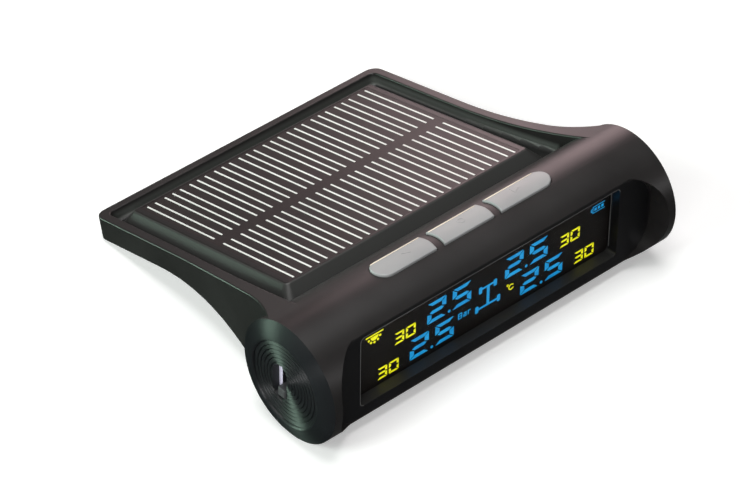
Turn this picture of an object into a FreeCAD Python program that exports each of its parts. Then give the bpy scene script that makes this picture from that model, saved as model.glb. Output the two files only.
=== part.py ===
import FreeCAD, Part
import math
import os

# Solar-charged dashboard receiver for tyre pressure sensors.
#
# Everything is drawn in the housing's own frame: X along the display barrel,
# Y towards the rear of the solar shelf, Z square to the solar panel, with the
# origin at the middle of the panel's face.  standing() then leans the whole
# unit back until its foot pad and its rear edge share one flat surface.
# All lengths are in millimetres and all angles in degrees.

# solar panel lines
LINE_PITCH = 1.9
LINE_GROUP_GAP = 2.375
LINE_GROUPS = [2, 3, 3, 3, 3, 3, 3, 3, 3, 2]
LINE_WIDTH = 0.36
LINE_INNER_Y = 1.4
LINE_OUTER_Y = 22.14
LINE_HEIGHT = 0.05

# display barrel
BARREL_R = 12.54
BARREL_Y = -36.575
BARREL_Z = -9.405
BARREL_HALF = 42.75
BARREL_WALL = 1.5
BORE_R = BARREL_R - BARREL_WALL

# end caps
CAP_HALF = 44.08
CAP_RIM_R = 8.74
CAP_DISH_X = 43.6
CAP_BACK_X = 42.0
CAP_RINGS = [7.79, 6.94, 6.02, 5.21, 4.33, 3.42, 2.57, 1.71]
CAP_GROOVE_HALF = 0.15
CAP_GROOVE_DEPTH = 0.3
SPIGOT_R = 10.95
SPIGOT_WALL = 1.2
SPIGOT_X = 41.1
END_WALL_X = 37.6
END_HOLE_R = 7.3

# display facet and window
FACET_TILT = 13.4
FACET_N = 7.486
FACET_HALF = 40.95
FACET_V = 10.3
FACET_CORNER = 8.2
BEZEL_HALF = 40.6
BEZEL_V = 9.72
BEZEL_CORNER = 7.7
BEZEL_GAP = 0.04
WINDOW_HALF = 32.4
WINDOW_V0 = -7.35
WINDOW_V1 = 9.06
WINDOW_CORNER = 0.95
WINDOW_N = 5.05
WINDOW_T = 0.25

# shelf
SHELF_REAR = 28.8
SHELF_HALF = 35.99
SHELF_CORNER = 2.5
SHELF_UNDER = -4.75
TOP_BLEND = 10.0
FLARE_Y = 3.8
UNDER_Y = 9.5
UNDER_R = 42.37
PAD_PROUD = 0.4
WALL = 1.35
COVER_T = 1.0
COVER_GAP = 0.1
COVER_FRONT = -31.9

# recess round the solar plateau
RECESS_DEPTH = 2.7
RECESS_HALF = 33.9
RECESS_REAR = 26.8
RECESS_FILLET = 0.8
RIM_ROUND = 0.28
FLOOR_T = 1.0

# solar plateau
CREST_HALF = 30.3
CREST_REAR = 23.56
CREST_FRONT = -22.95
CREST_ROUND = 0.8
SLOPE_RUN = 2.4
PANEL_HALF = 29.0
PANEL_FRONT = -22.4
PANEL_REAR = 22.95
PANEL_T = 1.6
LEAD_HOLE = (23.2, -15.0)

# push buttons
BUTTON_TILT = 6.2
BUTTON_HALF = 2.61
BUTTON_PROUD = 0.42
BUTTON_GAP = 0.15
BUTTON_SAG = 0.4
BUTTON_FLANGE = 0.55
BUTTON_FLANGE_R = 10.72
BUTTON_BACK_R = 10.2
BUTTON_STEM_R = 9.8
BUTTONS = {
    "button_left": (-21.5, -7.9, True, False),
    "button_middle": (-6.33, 6.33, False, False),
    "button_right": (7.8, 21.85, False, True),
}

# power switch
SLOT_V = -0.88
SLOT_N = -1.75
SLOT_HALF_LONG = 4.12
SLOT_HALF_WIDE = 1.95
KNOB_V = -3.7
KNOB_W = 2.0
KNOB_H = 1.9
KNOB_TOP_X = 43.3
SWITCH_FACE_X = 41.95
SWITCH_BACK_X = 37.4
SWITCH_HALF = 4.7
TRACK_HALF = 3.9
TRACK_FLOOR_X = 39.6

# charging socket
SOCKET_N = -2.25

# display glass, light box and boards, as distances ahead of the barrel axis
GLASS_FRONT = 4.72
GLASS_BACK = 2.9
LIGHT_BACK = 1.5
BOARD_FRONT = 0.5
BOARD_BACK = -0.7
MARK_T = 0.06

# battery
BATTERY_R = 6.0
BATTERY_LENGTH = 44.0
BATTERY_Y = -27.8
BATTERY_Z = -11.2

# liquid crystal characters
# each digit: width, height, upright stroke, level stroke, gap between strokes
BIG_DIGIT = (4.62, 4.8, 1.0, 0.78, 0.16)
SMALL_DIGIT = (2.35, 2.7, 0.46, 0.38, 0.12)
BIG_STEP = 6.25
SMALL_STEP = 2.83
PRESSURES = [(-13.75, -0.15), (-17.9, -6.48), (5.7, -0.15), (9.86, -6.48)]
TEMPERATURES = [(-21.8, -0.42), (-25.85, -6.6), (19.75, -0.42), (23.8, -6.6)]
SEGMENTS = {"2": "abged", "5": "afgcd", "3": "abgcd", "0": "abcdef"}

SCREW_XS = [-34.0, 34.0]
SCREW_ALONG = 6.5
TONGUE_XS = [-22.0, 0.0, 22.0]
X_DIR = FreeCAD.Vector(1, 0, 0)


def vec(x, y, z):
    return FreeCAD.Vector(x, y, z)


def lean_angle():
    """Angle of the line that is tangent below the barrel and meets the rear lower edge."""
    run = SHELF_REAR - BARREL_Y
    drop = SHELF_UNDER - BARREL_Z
    reach = math.hypot(run, drop)
    return math.degrees(math.atan2(drop, run) + math.asin(BARREL_R / reach))


LEAN = lean_angle()
LEAN_SIN = math.sin(math.radians(LEAN))
LEAN_COS = math.cos(math.radians(LEAN))


def standing_offset():
    """Shift that puts the middle of the standing unit's base on the origin."""
    barrel_y = BARREL_Y * LEAN_COS + BARREL_Z * LEAN_SIN
    front = barrel_y - BARREL_R
    rear = SHELF_REAR * LEAN_COS
    ground = -BARREL_Y * LEAN_SIN + BARREL_Z * LEAN_COS - BARREL_R
    return vec(0, -(front + rear) / 2.0, -ground)


def standing(shape):
    moved = shape.copy()
    moved.rotate(vec(0, 0, 0), X_DIR, -LEAN)
    moved.translate(standing_offset())
    return moved


def ground_point(along, up):
    """Point on the standing surface, measured rearwards from below the barrel."""
    y = BARREL_Y + (BARREL_R - up) * LEAN_SIN + along * LEAN_COS
    z = BARREL_Z - (BARREL_R - up) * LEAN_COS + along * LEAN_SIN
    return (y, z)


def box(x0, x1, y0, y1, z0, z1):
    return Part.makeBox(x1 - x0, y1 - y0, z1 - z0, vec(x0, y0, z0))


def line(p, q):
    return Part.makeLine(p, q)


def arc(p, m, q):
    return Part.Arc(p, m, q).toShape()


def prism(edges, sweep):
    return Part.Face(Part.Wire(edges)).extrude(sweep)


def polygon_prism(points, sweep):
    return Part.Face(Part.makePolygon(points + points[:1])).extrude(sweep)


def rounded_edges(x0, x1, y0, y1, r, z):
    """Edges of a rectangle with rounded corners in the plane at height z."""
    k = r * (1.0 - math.sqrt(0.5))
    return [
        line(vec(x0 + r, y0, z), vec(x1 - r, y0, z)),
        arc(vec(x1 - r, y0, z), vec(x1 - k, y0 + k, z), vec(x1, y0 + r, z)),
        line(vec(x1, y0 + r, z), vec(x1, y1 - r, z)),
        arc(vec(x1, y1 - r, z), vec(x1 - k, y1 - k, z), vec(x1 - r, y1, z)),
        line(vec(x1 - r, y1, z), vec(x0 + r, y1, z)),
        arc(vec(x0 + r, y1, z), vec(x0 + k, y1 - k, z), vec(x0, y1 - r, z)),
        line(vec(x0, y1 - r, z), vec(x0, y0 + r, z)),
        arc(vec(x0, y0 + r, z), vec(x0 + k, y0 + k, z), vec(x0 + r, y0, z)),
    ]


def rounded_box(x0, x1, y0, y1, z0, z1, r):
    return prism(rounded_edges(x0, x1, y0, y1, r, z0), vec(0, 0, z1 - z0))


def rod(p, q, r):
    span = q.sub(p)
    return Part.makeCylinder(r, span.Length, p, span)


def wire_run(points, r):
    """Round wire through the points, with a ball at every bend."""
    shape = rod(points[0], points[1], r)
    for p, q in zip(points[1:], points[2:]):
        shape = shape.fuse([Part.makeSphere(r, p), rod(p, q, r)])
    return shape.removeSplitter()


def tilted(shape, angle):
    """Move a shape from barrel axes, with Z radial, into the housing frame."""
    moved = shape.copy()
    moved.rotate(vec(0, 0, 0), X_DIR, angle)
    moved.translate(vec(0, BARREL_Y, BARREL_Z))
    return moved


def faced(shape):
    """Move a shape drawn as X, up the display, out of the display into place."""
    return tilted(shape, 90.0 + FACET_TILT)


def radial(shape):
    """Move a shape drawn with Z along the buttons' push direction into place."""
    return tilted(shape, BUTTON_TILT)


def barrel_rod(r, half):
    return Part.makeCylinder(r, 2 * half, vec(-half, BARREL_Y, BARREL_Z), X_DIR)


# ---------------------------------------------------------------- housing


def underside(rise):
    """Path below the shelf, raised by rise: foot flat, hollow arc, rear flat."""
    centre_z = SHELF_UNDER - UNDER_R
    radius = UNDER_R + rise
    y0, z0 = ground_point(0, PAD_PROUD + rise)
    dy = y0 - UNDER_Y
    dz = z0 - centre_z
    half_b = dy * LEAN_COS + dz * LEAN_SIN
    along = -half_b - math.sqrt(half_b**2 - dy**2 - dz**2 + radius**2)
    y1, z1 = ground_point(along, PAD_PROUD + rise)
    start = math.atan2(z1 - centre_z, y1 - UNDER_Y)
    middle = (start + math.pi / 2) / 2
    mid = (UNDER_Y + radius * math.cos(middle), centre_z + radius * math.sin(middle))
    return (y0, z0), (y1, z1), mid, (UNDER_Y, SHELF_UNDER + rise)


def side_profile():
    """Section through shelf and foot, from the rear edge to the barrel axis."""
    blend = math.radians(TOP_BLEND)
    y_end = BARREL_Y + BARREL_R * math.sin(blend)
    z_end = BARREL_Z + BARREL_R * math.cos(blend)
    radius = z_end / (1 - math.cos(blend))
    y_start = y_end + radius * math.sin(blend)
    mid = vec(0, y_start - radius * math.sin(blend / 2), radius * (1 - math.cos(blend / 2)))
    foot, toe, hollow, flat = [vec(0, y, z) for y, z in underside(0)]
    top = vec(0, SHELF_REAR, 0)
    start = vec(0, y_start, 0)
    end = vec(0, y_end, z_end)
    axis = vec(0, BARREL_Y, BARREL_Z)
    rear = vec(0, SHELF_REAR, SHELF_UNDER)
    return [
        line(top, start),
        arc(start, mid, end),
        line(end, axis),
        line(axis, foot),
        line(foot, toe),
        arc(toe, hollow, flat),
        line(flat, rear),
        line(rear, top),
    ]


def plan_edges(inset, rear, z):
    """Outline seen along Z, narrowed by inset: straight rear, flared front."""
    front = BARREL_Y
    corner = SHELF_CORNER - inset * 0.6
    k = corner * (1 - math.sqrt(0.5))
    stations = [(35.99, FLARE_Y), (36.436, -8.55), (37.77, -20.9), (39.65, -27.74), (42.75, -33.25)]
    right = [vec(x - inset, y, z) for x, y in stations]
    left = [vec(-p.x, p.y, z) for p in right]
    half = SHELF_HALF - inset
    tip = right[4].x
    return [
        line(vec(half - corner, rear, z), vec(corner - half, rear, z)),
        arc(vec(corner - half, rear, z), vec(k - half, rear - k, z), vec(-half, rear - corner, z)),
        line(vec(-half, rear - corner, z), left[0]),
        arc(left[0], left[1], left[2]),
        arc(left[2], left[3], left[4]),
        line(left[4], vec(-tip, front, z)),
        line(vec(-tip, front, z), vec(tip, front, z)),
        line(vec(tip, front, z), right[4]),
        arc(right[4], right[3], right[2]),
        arc(right[2], right[1], right[0]),
        line(right[0], vec(half, rear - corner, z)),
        arc(vec(half, rear - corner, z), vec(half - k, rear - k, z), vec(half - corner, rear, z)),
    ]


def plan_prism(inset, front, rear, z0, z1):
    block = prism(plan_edges(inset, rear, z0), vec(0, 0, z1 - z0))
    return block.common(box(-60, 60, front, 60, z0, z1))


def recess_tool():
    """Space round the solar plateau, with its bottom edge rounded."""
    z = -RECESS_DEPTH
    front = BARREL_Y + 0.5
    stations = [(RECESS_HALF, FLARE_Y), (34.52, -15.0), (36.55, front)]
    right = [vec(x, y, z) for x, y in stations]
    left = [vec(-p.x, p.y, z) for p in right]
    r = 1.2
    k = r * (1 - math.sqrt(0.5))
    h = RECESS_HALF
    rear = RECESS_REAR
    edges = [
        line(vec(h - r, rear, z), vec(r - h, rear, z)),
        arc(vec(r - h, rear, z), vec(k - h, rear - k, z), vec(-h, rear - r, z)),
        line(vec(-h, rear - r, z), left[0]),
        arc(left[0], left[1], left[2]),
        line(left[2], right[2]),
        arc(right[2], right[1], right[0]),
        line(right[0], vec(h, rear - r, z)),
        arc(vec(h, rear - r, z), vec(h - k, rear - k, z), vec(h - r, rear, z)),
    ]
    tool = prism(edges, vec(0, 0, 12))
    low = [e for e in tool.Edges if e.BoundBox.ZMax < z + 0.01 and e.BoundBox.YMax > front + 0.1]
    return tool.makeFillet(RECESS_FILLET, low)


def outer_body():
    """Recessed shelf with its rim edges eased, joined to the barrel."""
    shelf = prism(side_profile(), vec(2 * BARREL_HALF, 0, 0))
    shelf.translate(vec(-BARREL_HALF, 0, 0))
    shelf = shelf.common(plan_prism(0, BARREL_Y, SHELF_REAR, -30, 10))
    shelf = shelf.cut(recess_tool())
    rim = [e for e in shelf.Edges if e.BoundBox.ZMin > -0.01 and e.BoundBox.YMin > RECESS_REAR - 0.2]
    shelf = shelf.makeFillet(RIM_ROUND, rim)
    return shelf.fuse(barrel_rod(BARREL_R, BARREL_HALF)).removeSplitter()


def facet_tool():
    return faced(rounded_box(-FACET_HALF, FACET_HALF, -FACET_V, FACET_V, FACET_N, 20, FACET_CORNER))


def bezel_blank(gap, front):
    half = BEZEL_HALF - gap
    high = BEZEL_V - gap
    return rounded_box(-half, half, -high, high, WINDOW_N, front, BEZEL_CORNER - gap)


def foot_rod(x, along, low, high, r):
    """Rod square to the foot flat, between two heights above the standing surface."""
    y, z = ground_point(along, low)
    return Part.makeCylinder(r, high - low, vec(x, y, z), vec(0, -LEAN_SIN, LEAN_COS))


def screw_boss(x):
    """Post from the barrel's upper skin down to the bottom cover."""
    low = PAD_PROUD + COVER_T + 0.05
    post = foot_rod(x, SCREW_ALONG, low, 21.6, 2.3)
    return post.cut(foot_rod(x, SCREW_ALONG, low - 0.1, 9.0, 0.8))


def tongue(x, gap):
    """Lip on the rear edge of the bottom cover that hooks into the shell."""
    y = SHELF_REAR - WALL
    return box(x - 3 - gap, x + 3 + gap, y - 1.5, y + 0.6 + gap, -4.45 - gap, -3.95 + gap)


def barrel_bore():
    """Hollow of the barrel: wide middle, end walls, seats for the caps."""
    bore = barrel_rod(BORE_R, END_WALL_X).fuse(barrel_rod(END_HOLE_R, BARREL_HALF + 1))
    seats = barrel_rod(SPIGOT_R + 0.04, BARREL_HALF + 1).cut(barrel_rod(20, SPIGOT_X - 0.05))
    return bore.fuse(seats)


def barrel_ends():
    """Solid cores kept at both ends of the barrel."""
    return barrel_rod(BARREL_R, BARREL_HALF).cut(barrel_rod(20, END_WALL_X))


def top_shell():
    shell = outer_body()
    floor = -RECESS_DEPTH - FLOOR_T
    cavity = plan_prism(WALL, COVER_FRONT - COVER_GAP, SHELF_REAR - WALL, -30, floor)
    shell = shell.cut([cavity.cut(barrel_ends()), barrel_bore()])
    shell = shell.cut(facet_tool())
    shell = shell.cut(faced(bezel_blank(0, 20)))
    shell = shell.cut([radial(button_prism(name, BUTTON_GAP, 8, 20)) for name in BUTTONS])
    shell = shell.cut(Part.makeCylinder(1.6, 10, vec(LEAD_HOLE[0], LEAD_HOLE[1], -8)))
    shell = shell.cut([tongue(x, 0.08) for x in TONGUE_XS])
    return shell.fuse([screw_boss(x) for x in SCREW_XS]).removeSplitter()


def cover_slab(low, high):
    """Curved plate between two rises above the underside, full width."""
    a, b, c, d = [vec(-50, y, z) for y, z in underside(low)]
    e, f, g, h = [vec(-50, y, z) for y, z in underside(high)]
    rear_low = vec(-50, SHELF_REAR, SHELF_UNDER + low)
    rear_high = vec(-50, SHELF_REAR, SHELF_UNDER + high)
    edges = [
        line(a, b),
        arc(b, c, d),
        line(d, rear_low),
        line(rear_low, rear_high),
        line(rear_high, h),
        arc(h, g, f),
        line(f, e),
        line(e, a),
    ]
    return prism(edges, vec(100, 0, 0))


def pad_blank(low, high, gap):
    """Block on the foot flat between two heights above the standing surface."""
    blank = rounded_box(-30 - gap, 30 + gap, 2.6 - gap, 10.4 + gap, low, high, 2.0)
    blank.rotate(vec(0, 0, 0), X_DIR, LEAN)
    y, z = ground_point(0, 0)
    blank.translate(vec(0, y, z))
    return blank


def bottom_cover():
    inset = WALL + COVER_GAP
    plate = plan_prism(inset, COVER_FRONT, SHELF_REAR - inset, -30, 0)
    plate = plate.common(cover_slab(0, COVER_T))
    plate = plate.cut(barrel_ends())
    plate = plate.fuse([tongue(x, 0) for x in TONGUE_XS])
    plate = plate.cut(pad_blank(-2, 0.8, 0.05))
    return plate.cut([foot_rod(x, SCREW_ALONG, -1, 3, 1.1) for x in SCREW_XS])


def housing_screws():
    """Screws that pull the bottom cover against the bosses."""
    screws = []
    for x in SCREW_XS:
        head = foot_rod(x, SCREW_ALONG, 0.05, PAD_PROUD - 0.01, 1.9)
        shank = foot_rod(x, SCREW_ALONG, 0.1, 6.5, 0.78)
        blades = [rounded_box(-1.2, 1.2, -0.2, 0.2, -1, 0.22, 0.05)]
        blades.append(rounded_box(-0.2, 0.2, -1.2, 1.2, -1, 0.22, 0.05))
        for blade in blades:
            blade.rotate(vec(0, 0, 0), X_DIR, LEAN)
            y, z = ground_point(SCREW_ALONG, 0)
            blade.translate(vec(x, y, z))
        screws.append(head.fuse(shank).cut(blades))
    return Part.makeCompound(screws)


def base_pad():
    return pad_blank(0, 0.8, 0)


# --------------------------------------------------------------- end caps


def cap_section():
    """Half section of an end cap: domed rim, dish with turned grooves, spigot."""
    points = [(CAP_DISH_X, CAP_RIM_R)]
    for ring in CAP_RINGS:
        points.append((CAP_DISH_X, ring + CAP_GROOVE_HALF))
        points.append((CAP_DISH_X - CAP_GROOVE_DEPTH, ring))
        points.append((CAP_DISH_X, ring - CAP_GROOVE_HALF))
    points.append((CAP_DISH_X, 0))
    points.append((CAP_BACK_X, 0))
    points.append((CAP_BACK_X, SPIGOT_R - SPIGOT_WALL))
    points.append((SPIGOT_X, SPIGOT_R - SPIGOT_WALL))
    points.append((SPIGOT_X, SPIGOT_R))
    points.append((BARREL_HALF, SPIGOT_R))
    points.append((BARREL_HALF, BARREL_R))
    path = [vec(x, 0, r) for x, r in points]
    edges = [line(p, q) for p, q in zip(path, path[1:])]
    rim = vec(CAP_HALF, 0, CAP_RIM_R + 0.5)
    edges.append(arc(path[-1], vec(43.62, 0, 11.0), rim))
    edges.append(arc(rim, vec(CAP_HALF - 0.12, 0, CAP_RIM_R + 0.12), path[0]))
    return Part.Face(Part.Wire(edges))


def cap_blank():
    return cap_section().revolve(vec(0, 0, 0), X_DIR, 360)


def slot_tool():
    """Obround opening along the display's height, cut through an end cap."""
    half_n = SLOT_HALF_WIDE
    half_v = SLOT_HALF_LONG
    edges = rounded_edges(-half_n, half_n, -half_v, half_v, half_n - 0.01, 0)
    tool = Part.Face(Part.Wire(edges)).extrude(vec(0, 0, 10))
    tool.rotate(vec(0, 0, 0), vec(0, 1, 0), -90)
    return tool


def left_end_cap():
    cap = cap_blank().mirror(vec(0, 0, 0), X_DIR)
    tool = slot_tool()
    tool.translate(vec(-38, SLOT_V, SLOT_N))
    return faced(cap.cut(tool))


def sideways(shape):
    """Turn a shape drawn along Z to point out of the barrel's right end."""
    turned = shape.copy()
    turned.rotate(vec(0, 0, 0), vec(0, 1, 0), 90)
    turned.rotate(vec(0, 0, 0), X_DIR, 90)
    turned.translate(vec(0, 0, SOCKET_N))
    return turned


def right_end_cap():
    opening = rounded_box(-4.2, 4.2, -1.85, 1.85, 38, 46, 1.2)
    return faced(cap_blank().cut(sideways(opening)))


# ---------------------------------------------------------------- display


def display_bezel():
    frame = faced(bezel_blank(BEZEL_GAP, FACET_N))
    opening = rounded_box(
        -WINDOW_HALF, WINDOW_HALF, WINDOW_V0, WINDOW_V1, 0, 20, WINDOW_CORNER
    )
    frame = frame.cut(faced(opening))
    return frame.common(barrel_rod(BARREL_R - 0.01, BARREL_HALF))


def display_window():
    sheet = rounded_box(-35, 35, -8.3, 9.5, WINDOW_N - WINDOW_T, WINDOW_N - 0.01, 0.6)
    return faced(sheet)


def lcd_panel():
    return faced(box(-34.5, 34.5, -8.1, 9.4, GLASS_BACK, GLASS_FRONT))


def lcd_holder():
    outer = box(-36.2, 36.2, -8.9, 9.0, LIGHT_BACK, GLASS_BACK - 0.05)
    inner = box(-34.2, 34.2, -7.6, 7.9, LIGHT_BACK - 1, GLASS_BACK + 1)
    return faced(outer.cut(inner))


def backlight():
    return faced(box(-34.1, 34.1, -7.5, 7.8, LIGHT_BACK + 0.1, GLASS_BACK - 0.1))


def lcd_pins():
    """Row of stiff pins from the glass edge to the main board."""
    pins = []
    for i in range(16):
        x = -12.0 + 1.6 * i
        pins.append(box(x - 0.2, x + 0.2, -9.25, -8.95, -1.2, 4.0))
    return faced(Part.makeCompound(pins))


def segment_outline(name, size):
    """Corners of one bevelled segment of a seven-segment digit."""
    w, h, upright, level, gap = size
    mid = h / 2.0
    inner = w - upright
    half = level / 2
    flat = {
        "a": [(gap, h), (w - gap, h), (inner - gap, h - level), (upright + gap, h - level)],
        "d": [(gap, 0), (w - gap, 0), (inner - gap, level), (upright + gap, level)],
        "b": [(w, h - gap), (w, mid + gap), (inner, mid + half + gap), (inner, h - level - gap)],
        "c": [(w, gap), (w, mid - gap), (inner, mid - half - gap), (inner, level + gap)],
        "f": [(0, h - gap), (0, mid + gap), (upright, mid + half + gap), (upright, h - level - gap)],
        "e": [(0, gap), (0, mid - gap), (upright, mid - half - gap), (upright, level + gap)],
        "g": [
            (gap + upright * 0.4, mid),
            (upright + gap, mid + half),
            (inner - gap, mid + half),
            (w - gap - upright * 0.4, mid),
            (inner - gap, mid - half),
            (upright + gap, mid - half),
        ],
    }
    return flat[name]


def digit(char, u, v, size):
    solids = []
    for name in SEGMENTS[char]:
        corners = [vec(u + x, v + y, GLASS_FRONT) for x, y in segment_outline(name, size)]
        solids.append(polygon_prism(corners, vec(0, 0, MARK_T)))
    return solids


def stroke(u0, v0, u1, v1):
    return box(u0, u1, v0, v1, GLASS_FRONT, GLASS_FRONT + MARK_T)


def disc(u, v, r):
    return Part.makeCylinder(r, MARK_T, vec(u, v, GLASS_FRONT))


def joined(pieces):
    return pieces[0].fuse(pieces[1:]).removeSplitter()


def wheel(u, v):
    outline = rounded_edges(u - 0.4, u + 0.4, v - 0.8, v + 0.8, 0.28, GLASS_FRONT)
    return prism(outline, vec(0, 0, MARK_T))


def axle_mark():
    """Plan of a vehicle's two axles and its drive shaft."""
    parts = [wheel(-0.47, 0.62), wheel(3.24, 0.62), wheel(-1.28, -3.7), wheel(4.23, -3.7)]
    parts.append(stroke(-0.4, 0.6, 3.2, 1.02))
    parts.append(stroke(-1.2, -3.95, 4.2, -3.5))
    parts.append(stroke(1.16, -3.8, 1.82, 0.9))
    return joined(parts)


def cell_mark():
    """Outline of a charge indicator with three bars and a nub."""
    case = stroke(28.15, 3.45, 31.3, 5.05).cut(stroke(28.28, 3.58, 32, 4.92))
    nub = stroke(27.7, 3.9, 28.2, 4.6).cut(stroke(27.83, 4.03, 28.3, 4.47))
    bars = [stroke(u, 3.94, u + 0.56, 4.56) for u in (28.6, 29.5, 30.4)]
    return [case.fuse(nub)] + bars


def sun_mark():
    """Half sun under a bar, with rays."""
    u = -26.65
    v = 4.75
    parts = [stroke(u - 2.1, v + 0.25, u + 2.1, v + 0.52)]
    parts.append(disc(u, v, 0.95).cut(stroke(u - 2, v, u + 2, v + 2)))
    for angle in (200, 235, 270, 305, 340):
        turn = math.radians(angle)
        parts.append(disc(u + 1.45 * math.cos(turn), v + 1.45 * math.sin(turn), 0.26))
    return parts


def unit_marks():
    """Pressure unit letters, as short strokes on the glass."""
    u = -6.0
    v = -3.38
    capital = joined([
        stroke(u, v, u + 0.22, v + 1.38),
        stroke(u, v, u + 0.9, v + 0.2),
        stroke(u, v + 0.59, u + 0.9, v + 0.79),
        stroke(u, v + 1.18, u + 0.9, v + 1.38),
        stroke(u + 0.8, v + 0.1, u + 1.0, v + 1.28),
    ])
    small = joined([
        stroke(u + 1.35, v, u + 2.1, v + 0.18),
        stroke(u + 1.35, v, u + 1.53, v + 0.6),
        stroke(u + 1.35, v + 0.42, u + 2.1, v + 0.6),
        stroke(u + 1.92, v, u + 2.1, v + 1.0),
        stroke(u + 1.45, v + 0.82, u + 2.1, v + 1.0),
    ])
    last = joined([
        stroke(u + 2.45, v, u + 2.65, v + 1.0),
        stroke(u + 2.45, v + 0.82, u + 3.1, v + 1.0),
    ])
    return [capital, small, last]


def degree_marks():
    """Temperature unit: a small ring and an open round letter."""
    ring = disc(6.5, -2.1, 0.26).cut(disc(6.5, -2.1, 0.12))
    letter = disc(7.42, -2.85, 0.7).cut(disc(7.42, -2.85, 0.48))
    letter = letter.cut(stroke(7.7, -3.15, 8.4, -2.55))
    return [ring, letter]


def lcd_pressure_marks():
    solids = []
    for u, v in PRESSURES:
        solids += digit("2", u, v, BIG_DIGIT)
        solids += digit("5", u + BIG_STEP, v, BIG_DIGIT)
        solids.append(disc(u + 5.44, v + 0.3, 0.32))
    solids.append(axle_mark())
    solids += cell_mark()
    solids += unit_marks()
    return faced(Part.makeCompound(solids))


def lcd_temperature_marks():
    solids = []
    for u, v in TEMPERATURES:
        solids += digit("3", u, v, SMALL_DIGIT)
        solids += digit("0", u + SMALL_STEP, v, SMALL_DIGIT)
    solids += sun_mark()
    solids += degree_marks()
    return faced(Part.makeCompound(solids))


# ---------------------------------------------------------------- buttons


def button_outline(x0, x1, round_left, round_right, half, z):
    """Outline of a button: round outer end, matching curved inner ends."""
    sag = BUTTON_SAG
    start = x0 + half if round_left else x0
    end = x1 - half if round_right else x1 - sag
    left_mid = x0 if round_left else x0 + sag
    corners = [vec(start, -half, z), vec(end, -half, z), vec(end, half, z), vec(start, half, z)]
    return [
        line(corners[0], corners[1]),
        arc(corners[1], vec(x1, 0, z), corners[2]),
        line(corners[2], corners[3]),
        arc(corners[3], vec(left_mid, 0, z), corners[0]),
    ]


def button_prism(name, grow, z0, z1):
    x0, x1, round_left, round_right = BUTTONS[name]
    half = BUTTON_HALF + grow
    edges = button_outline(x0 - grow, x1 + grow, round_left, round_right, half, z0)
    return prism(edges, vec(0, 0, z1 - z0))


def axis_rod(r):
    return Part.makeCylinder(r, 100, vec(-50, 0, 0), X_DIR)


def arrow_mark(x, way):
    tip = vec(x + way * 0.95, 0.45, 11)
    return polygon_prism(
        [tip, vec(x - way * 0.75, 1.3, 11), vec(x - way * 0.75, -0.4, 11)], vec(0, 0, 4)
    )


def ring_mark(x):
    outer = Part.makeCylinder(0.85, 4, vec(x, 0.45, 11))
    return outer.cut(Part.makeCylinder(0.5, 4, vec(x, 0.45, 11)))


def button(name, mark):
    x0, x1, round_left, round_right = BUTTONS[name]
    face = BARREL_R + BUTTON_PROUD
    cap = button_prism(name, 0, BUTTON_BACK_R - 1, 20).common(axis_rod(face))
    rim = [e for e in cap.Edges if e.CenterOfMass.z > face - 0.4]
    cap = cap.makeFillet(0.22, rim)
    flange = button_prism(name, BUTTON_FLANGE, BUTTON_BACK_R - 1, 20)
    flange = flange.common(axis_rod(BUTTON_FLANGE_R))
    middle = (x0 + x1) / 2
    stem = Part.makeCylinder(1.5, 2, vec(middle, 0, BUTTON_STEM_R))
    body = cap.fuse(flange).cut(axis_rod(BUTTON_BACK_R)).fuse(stem)
    return radial(body.fuse(mark.common(axis_rod(face + 0.06))).removeSplitter())


def button_board():
    plate = box(-20.5, 20.5, -2.2, 2.8, 6.3, 7.1)
    return radial(plate)


def tact_switches():
    """Three press switches below the button stems."""
    switches = []
    for x0, x1, _, _ in BUTTONS.values():
        x = (x0 + x1) / 2
        case = box(x - 2.25, x + 2.25, -2.25, 2.25, 7.1, 8.7)
        plunger = Part.makeCylinder(1.0, 0.6, vec(x, 0, 8.7))
        feet = [box(x + s * 2.9 - 0.65, x + s * 2.9 + 0.65, -0.5, 0.5, 7.1, 7.3) for s in (-1, 1)]
        switches.append(case.fuse([plunger] + feet))
    return radial(Part.makeCompound(switches))


# ----------------------------------------------------------- power switch


def power_switch_body():
    """Edge-mounted slide switch: metal case with a slot for its knob."""
    v0 = SLOT_V - SWITCH_HALF
    v1 = SLOT_V + SWITCH_HALF
    case = box(-SWITCH_FACE_X, -SWITCH_BACK_X, v0, v1, SLOT_N - 2.2, SLOT_N + 2.2)
    half_n = KNOB_W / 2 + 0.12
    track = box(-50, -TRACK_FLOOR_X, SLOT_V - TRACK_HALF, SLOT_V + TRACK_HALF, -half_n, half_n)
    track.translate(vec(0, 0, SLOT_N))
    return faced(case.cut(track))


def power_switch_knob():
    half_w = KNOB_W / 2
    v0 = KNOB_V - KNOB_H / 2
    v1 = KNOB_V + KNOB_H / 2
    grip = box(-KNOB_TOP_X, -TRACK_FLOOR_X - 0.2, v0, v1, SLOT_N - half_w, SLOT_N + half_w)
    ridge = [e for e in grip.Edges if e.BoundBox.XMax < 0.01 - KNOB_TOP_X]
    return faced(grip.makeChamfer(0.25, ridge))


def switch_terminals():
    """Three pins from the slide switch to the board."""
    pins = []
    for v in (SLOT_V - 2.6, SLOT_V, SLOT_V + 2.6):
        pins.append(box(-SWITCH_BACK_X, -35.6, v - 0.3, v + 0.3, -1.0, -0.7))
    return faced(Part.makeCompound(pins))


# ------------------------------------------------------------ electronics


def main_board():
    board = box(-37.2, 37.4, -9.0, 5.4, BOARD_BACK, BOARD_FRONT)
    notch = box(-12.6, 12.6, -9.3, -8.9, -2, 2)
    holes = [Part.makeCylinder(1.1, 4, vec(x, -6.5, -2)) for x in (-34.5, 33.0)]
    return faced(board.cut([notch] + holes))


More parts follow.
